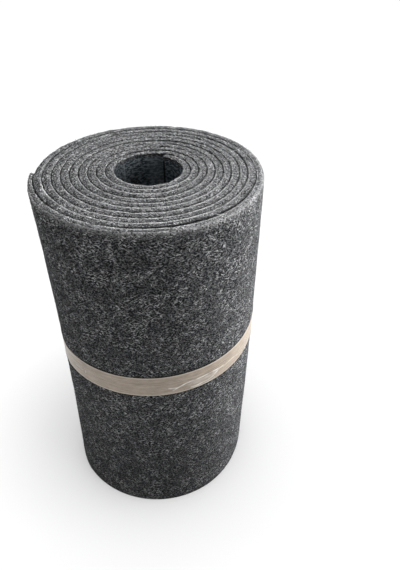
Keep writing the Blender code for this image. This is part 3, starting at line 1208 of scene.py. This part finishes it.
def dark_gaps(tree, cloth, wall):
    """Share of painted black shade in the gaps, and of a painted shadow beside the felt's inner end
    in the bore.
    """
    end = float(arc_length(total_turns())) - END_LINE_INSET
    behind_end = float(arc_length(total_turns() - 1.0)) + BEHIND_END_LINE_INSET
    lines = [add_upright_line(tree, cloth, along) for along in (end, behind_end)]
    beside = times(tree, wall, strongest(tree, lines))
    return times(tree, strongest(tree, [add_attribute(tree, "gap"), beside]), GAP_STRENGTH)


def felt_material():
    """Charcoal needled felt, mottled with fibres, its cut edge crumbly, with pale raised fibres and
    a painted highlight along its edges, painted shade in its gaps and painted light in its bore.
    """
    material, tree, shader = new_material("charcoal_felt_fibres")
    where = tree.nodes.new("ShaderNodeTexCoord").outputs["Object"]
    cloth = add_attribute(tree, "cloth", "Vector")
    cut = add_attribute(tree, "cut")
    wall = add_attribute(tree, "bore")
    ground, grain, tone, rough_cut = felt_grounds(tree, where, cut)
    fine, bright, dark = felt_flecks(tree, cloth, where, cut)
    pale_edge_highlight = times(tree, add_attribute(tree, "edge"), add_range(tree, grain, *PALE_EDGE_BREAKUP))
    colour = layered(tree, ground, (
        (dark, FLECK_DARK),
        (times(tree, fine, FINE_FLECK_STRENGTH), FLECK_FINE),
        (bright, FLECK_BRIGHT),
        # Painted shade towards the floor.
        (add_range(tree, add_part(tree, where, "Z"), *FLOOR_SHADE), SHADE_DARK),
        # The bore's wall, painted paler: painted light.
        (times(tree, wall, WALL_STRENGTH), bore_colour(tree, cloth)),
        # Painted shade in the gaps, and a painted shadow beside the inner end.
        (dark_gaps(tree, cloth, wall), GAP_DARK),
        # Pale raised fibres and a painted highlight along the edges.
        (pale_edge_highlight, EDGE_PALE_AND_HIGHLIGHT)))
    set_inputs(tree, shader, {"Base Color": colour, **FELT_SURFACE})
    height = weighted(tree, (bright, tone, fine, dark, rough_cut), RELIEF_SHARES)
    add_bump(tree, shader, height, *FELT_RELIEF)
    return material


def fibre_material():
    """Loose fibres from dark to pale, by the tone that each ribbon keeps."""
    material, tree, shader = new_material("loose_felt_fibre")
    where = tree.nodes.new("ShaderNodeTexCoord").outputs["Object"]
    dusted = add_range(tree, add_noise(tree, where, *FIBRE_NOISE), *FIBRE_RANGE)
    mixed = times(tree, add_attribute(tree, "tone"), dusted)
    colour = add_mix(tree, mixed, FIBRE_DARK, FIBRE_PALE)
    set_inputs(tree, shader, {"Base Color": colour, **FIBRE_SURFACE})
    return material


def tape_material():
    """Beige film with lengthwise streaks, with a painted highlight at its edges and along its
    creases, and painted shade.
    """
    material, tree, shader = new_material("beige_packing_film")
    strip = add_attribute(tree, "strip", "Vector")
    cloud = add_noise(tree, strip, *CLOUD_NOISE)
    colour = add_mix(tree, add_range(tree, cloud, *CLOUD_RANGE), FILM_DARK, FILM_PALE)
    relief = cloud
    for length, width, low, high, strength, tint in STREAKS:
        streak = add_flecks(tree, strip, STREAK_SLANT, length, width, low, high)
        streak = times(tree, streak, strength)
        colour = add_mix(tree, streak, colour, tint)
        relief = add_math(tree, "ADD", relief, streak)
    half = BAND_WIDTH / 2.0
    edge = add_math(tree, "ABSOLUTE", add_part(tree, strip, "Y"))
    edge = add_range(tree, edge, half - FILM_EDGE_START, half - FILM_EDGE_FULL)
    # Painted highlights on the film's edges and creases, and painted shade.
    colour = layered(tree, colour, ((times(tree, edge, FILM_EDGE_STRENGTH), FILM_EDGE_HIGHLIGHT),
                                    (add_attribute(tree, "shade"), FILM_SHADE),
                                    (add_attribute(tree, "crease"), FILM_CREASE_HIGHLIGHT)))
    set_inputs(tree, shader, {"Base Color": colour, **FILM_SURFACE})
    add_bump(tree, shader, relief, *FILM_RELIEF)
    return material


def floor_material():
    material, tree, shader = new_material("pale_floor")
    set_inputs(tree, shader, FLOOR_SURFACE)
    return material


# The floor, the light and the camera.
def make_floor():
    reach = FLOOR_REACH
    points = [(-reach, -reach, 0.0), (reach, -reach, 0.0), (reach, reach, 0.0), (-reach, reach, 0.0)]
    floor = make_mesh("pale_ground", points, [(0, 1, 2, 3)])
    floor.location = (0.0, 0.0, -FLOOR_DEPTH)
    floor.data.materials.append(floor_material())
    return floor


def make_world():
    world = bpy.data.worlds.new("soft_white")
    bpy.context.scene.world = world
    world.use_nodes = True
    background = world.node_tree.nodes["Background"]
    background.inputs["Color"].default_value = (1.0, 1.0, 1.0, 1.0)
    background.inputs["Strength"].default_value = WORLD_STRENGTH
    bpy.context.scene.view_settings.view_transform = "Standard"


def area_light(receivers, name, azimuth, elevation, distance, size, strength):
    """A square soft light that shines on the roll's middle or on the floor only.

    Strength is what it gives a white surface that faces it, in scene brightness."""
    turned = math.radians(azimuth)
    raised = math.radians(elevation)
    away = Vector((math.cos(turned) * math.cos(raised), math.sin(turned) * math.cos(raised),
                   math.sin(raised))) * distance
    light = bpy.data.lights.new(name, "AREA")
    light.shape = "SQUARE"
    light.size = size
    light.energy = strength * math.pi * math.pi * distance * distance
    made = bpy.data.objects.new(name, light)
    bpy.context.scene.collection.objects.link(made)
    made.location = Vector((0.0, 0.0, LIGHT_TARGET_HEIGHT)) + away
    made.rotation_euler = (-away).to_track_quat("-Z", "Y").to_euler()
    made.light_linking.receiver_collection = receivers
    return made


def make_camera():
    data = bpy.data.cameras.new("view")
    data.lens = CAMERA_LENS
    data.sensor_width = SENSOR_SIZE
    data.sensor_fit = "AUTO"
    data.clip_start = CAMERA_NEAR
    data.clip_end = CAMERA_FAR
    camera = bpy.data.objects.new("view", data)
    bpy.context.scene.collection.objects.link(camera)
    ahead = Vector((math.sin(CAMERA_TO_RIGHT) * math.cos(CAMERA_DOWN),
                    math.cos(CAMERA_TO_RIGHT) * math.cos(CAMERA_DOWN),
                    -math.sin(CAMERA_DOWN)))
    level = ahead.cross(Vector((0.0, 0.0, 1.0))).normalized()
    upright = level.cross(ahead)
    right = level * math.cos(CAMERA_ROLL) + upright * math.sin(CAMERA_ROLL)
    up = upright * math.cos(CAMERA_ROLL) - level * math.sin(CAMERA_ROLL)
    turn = Matrix((right, up, -ahead)).transposed()
    spot = Vector(CAMERA_PLACE) + Vector((AXIS_X, AXIS_Y, 0.0))
    camera.matrix_world = Matrix.Translation(spot) @ turn.to_4x4()
    bpy.context.scene.camera = camera
    return camera


# The pieces, each with its material, its body and the solid that it stands for.
def finish_piece(piece, material, receivers):
    piece.data.materials.append(material)
    receivers.objects.link(piece)
    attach(piece, "root")


def make_sheet_and_strip(roll):
    felt = make_felt()
    finish_piece(felt, felt_material(), roll)
    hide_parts("felt_roll")
    band = make_band()
    finish_piece(band, tape_material(), roll)
    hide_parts("tape_band")


def make_lint(roll, look):
    """The loose fibres of the side, the cut edge, its worn line and the tufts."""
    sets = [(name, side_places(SIDE_FIBRE_COUNT, seed, low, high), seed + 5, SIDE_FIBRES)
            for name, seed, low, high in SIDE_LINT]
    sets.append(("lint_top", top_places(TOP_FIBRE_COUNT, 121), 126, TOP_FIBRES))
    sets.append(("lint_edges", edge_places(EDGE_FIBRE_COUNT, 131), 136, EDGE_FIBRES))
    sets.append(("lint_tufts", tuft_places(141), 146, TUFT_FIBRES))
    for name, places, seed, sizes in sets:
        finish_piece(make_fibres(name, places, seed, *sizes), look, roll)


def build():
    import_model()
    make_camera()
    ground = bpy.data.collections.new("lit_ground")
    ground.objects.link(make_floor())
    make_world()
    roll = bpy.data.collections.new("lit_roll")
    make_sheet_and_strip(roll)
    make_lint(roll, fibre_material())
    for row in ROLL_LIGHTS:
        area_light(roll, *row)
    area_light(ground, *FLOOR_LIGHT)


build()
